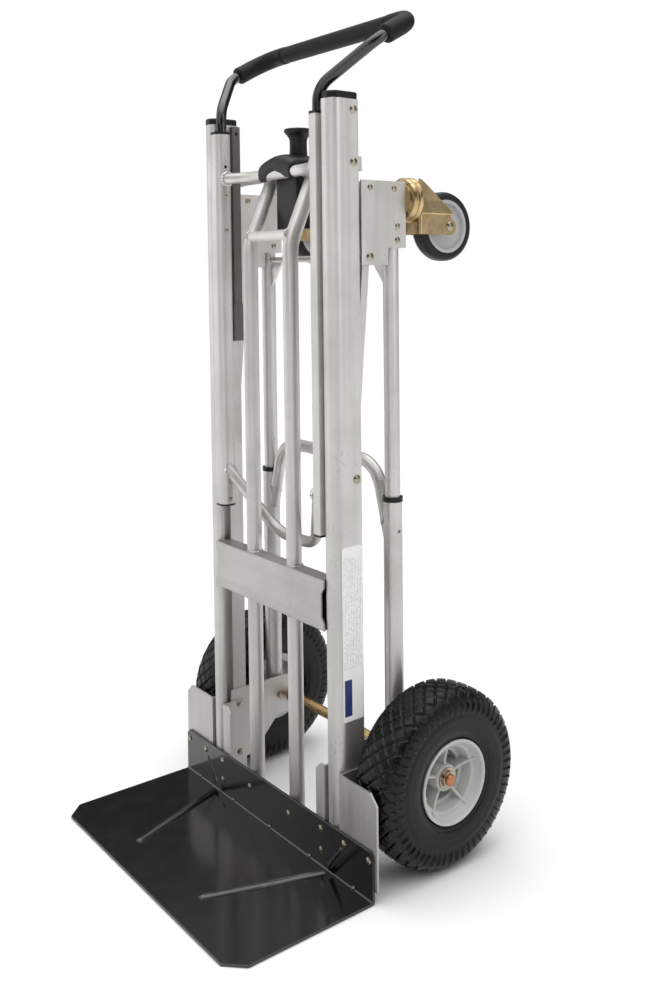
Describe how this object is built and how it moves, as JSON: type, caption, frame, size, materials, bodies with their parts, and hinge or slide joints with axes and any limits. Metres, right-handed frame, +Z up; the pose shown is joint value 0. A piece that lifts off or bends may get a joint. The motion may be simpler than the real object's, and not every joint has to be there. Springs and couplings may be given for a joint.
{
  "type": "folding platform cart",
  "caption": "Convertible aluminium hand truck: toe plate, two rails with fold-out legs, swivel casters, flat-free wheels and a sliding, tilting handle.",
  "frame": {"origin": "middle of the footprint, on the floor", "axes": "+Z up the rails, the toe plate points to -Y, +X is the cart's right-hand side"},
  "size_m": [0.5218, 0.4876, 1.209],
  "materials": {
    "aluminium_satin": "satin extruded",
    "aluminium_cast": "mill finish sheet",
    "black_paint": "gloss powder coat",
    "zinc_yellow": "yellow passivated zinc",
    "zinc_bright": "bright zinc",
    "tyre_rubber": "matte moulded rubber",
    "foam_grip": "matte foam rubber",
    "black_plastic": "moulded",
    "grey_plastic": "moulded",
    "strip_plastic": "moulded"
  },
  "bodies": {
    "frame": {"rail_left": "aluminium_satin", "rail_right": "aluminium_satin", "rail_caps": "black_plastic", "guide_strips": "strip_plastic", "top_crossbar": "aluminium_satin", "centre_tube_left": "aluminium_satin", "centre_tube_right": "aluminium_satin", "tube_brace": "aluminium_satin", "centre_panel": "aluminium_satin", "toe_plate": "black_paint", "toe_angle_left": "aluminium_cast", "toe_angle_right": "aluminium_cast", "inner_toe_angles": "aluminium_cast", "axle_plate_left": "aluminium_cast", "axle_plate_right": "aluminium_cast", "frame_rivets": "zinc_yellow", "pivot_pins": "zinc_bright", "axle": "zinc_yellow", "axle_fittings": "zinc_bright", "latch_keeper": "black_plastic"},
    "handle_carriage": {"guide_shoes": "black_plastic"},
    "handle_frame": {"side_tube_left": "aluminium_satin", "side_tube_right": "aluminium_satin", "side_tube_plugs": "black_plastic", "top_bow": "aluminium_satin", "lower_bow": "aluminium_satin", "push_handle": "black_paint", "handle_grip": "foam_grip", "handle_screws": "zinc_bright", "bow_saddle": "black_plastic"},
    "release_knob": {"release_knob": "black_plastic"},
    "leg_frame": {"lower_leg_left": "aluminium_satin", "lower_leg_right": "aluminium_satin", "leg_arch": "aluminium_satin", "leg_collars": "black_plastic"},
    "leg_upper": {"upper_leg_left": "aluminium_satin", "upper_leg_right": "aluminium_satin", "leg_crossbar": "aluminium_satin", "caster_bracket_left": "aluminium_cast", "caster_bracket_right": "aluminium_cast", "bracket_rivets": "zinc_yellow", "caster_race_left": "zinc_yellow", "caster_race_right": "zinc_yellow"},
    "strut_left": {"strut_left": "aluminium_satin"},
    "wheel_left": {"tyre_left": "tyre_rubber", "hub_left": "grey_plastic", "wheel_bearings_left": "zinc_bright"},
    "caster_fork_left": {"caster_fork_left": "zinc_yellow", "caster_axle_left": "zinc_bright"},
    "caster_wheel_left": {"caster_tyre_left": "tyre_rubber", "caster_hub_left": "grey_plastic"},
    "strut_right": {"strut_right": "aluminium_satin"},
    "wheel_right": {"tyre_right": "tyre_rubber", "hub_right": "grey_plastic", "wheel_bearings_right": "zinc_bright"},
    "caster_fork_right": {"caster_fork_right": "zinc_yellow", "caster_axle_right": "zinc_bright"},
    "caster_wheel_right": {"caster_tyre_right": "tyre_rubber", "caster_hub_right": "grey_plastic"}
  },
  "joints": [
    {"name": "handle_slide", "type": "slide", "parent": "frame", "child": "handle_carriage", "axis": [0, 0, 1], "range_m": [0, 0.35]},
    {"name": "handle_tilt", "type": "hinge", "parent": "handle_carriage", "child": "handle_frame", "pos_m": [0, -0.00405, 0.482], "axis": [1, 0, 0], "range_deg": [0, 90]},
    {"name": "knob_lift", "type": "slide", "parent": "handle_frame", "child": "release_knob", "axis": [0, 0, 1], "range_m": [0, 0.012], "stiffness_N_per_m": 600, "springref_m": -0.006},
    {"name": "leg_fold", "type": "hinge", "parent": "frame", "child": "leg_frame", "pos_m": [0, 0.09345, 0.1338], "axis": [-1, 0, 0], "range_deg": [0, 34.99]},
    {"name": "leg_telescope", "type": "slide", "parent": "leg_frame", "child": "leg_upper", "axis": [0, 0, -1], "range_m": [0, 0.2501]},
    {"name": "strut_swing_left", "type": "hinge", "parent": "frame", "child": "strut_left", "pos_m": [-0.155, 0.01755, 0.5522], "axis": [-1, 0, 0], "range_deg": [0, 85.2]},
    {"name": "wheel_spin_left", "type": "hinge", "parent": "frame", "child": "wheel_left", "pos_m": [-0.2185, 0.11595, 0.127], "axis": [1, 0, 0], "continuous": true},
    {"name": "caster_swivel_left", "type": "hinge", "parent": "leg_upper", "child": "caster_fork_left", "pos_m": [-0.1555, 0.12595, 0.941], "axis": [0, 1, 0], "continuous": true},
    {"name": "caster_roll_left", "type": "hinge", "parent": "caster_fork_left", "child": "caster_wheel_left", "pos_m": [-0.1555, 0.19295, 0.9042], "axis": [1, 0, 0], "continuous": true},
    {"name": "strut_swing_right", "type": "hinge", "parent": "frame", "child": "strut_right", "pos_m": [0.155, 0.01755, 0.5522], "axis": [-1, 0, 0], "range_deg": [0, 85.2]},
    {"name": "wheel_spin_right", "type": "hinge", "parent": "frame", "child": "wheel_right", "pos_m": [0.2185, 0.11595, 0.127], "axis": [1, 0, 0], "continuous": true},
    {"name": "caster_swivel_right", "type": "hinge", "parent": "leg_upper", "child": "caster_fork_right", "pos_m": [0.1555, 0.12595, 0.941], "axis": [0, 1, 0], "continuous": true},
    {"name": "caster_roll_right", "type": "hinge", "parent": "caster_fork_right", "child": "caster_wheel_right", "pos_m": [0.1555, 0.19295, 0.9042], "axis": [1, 0, 0], "continuous": true}
  ],
  "couplings": [
    {"joint": "leg_telescope", "follows": "leg_fold", "m_per_rad": 0.4094},
    {"joint": "strut_swing_left", "follows": "leg_fold", "ratio": 2.4346},
    {"joint": "strut_swing_right", "follows": "leg_fold", "ratio": 2.4346}
  ]
}
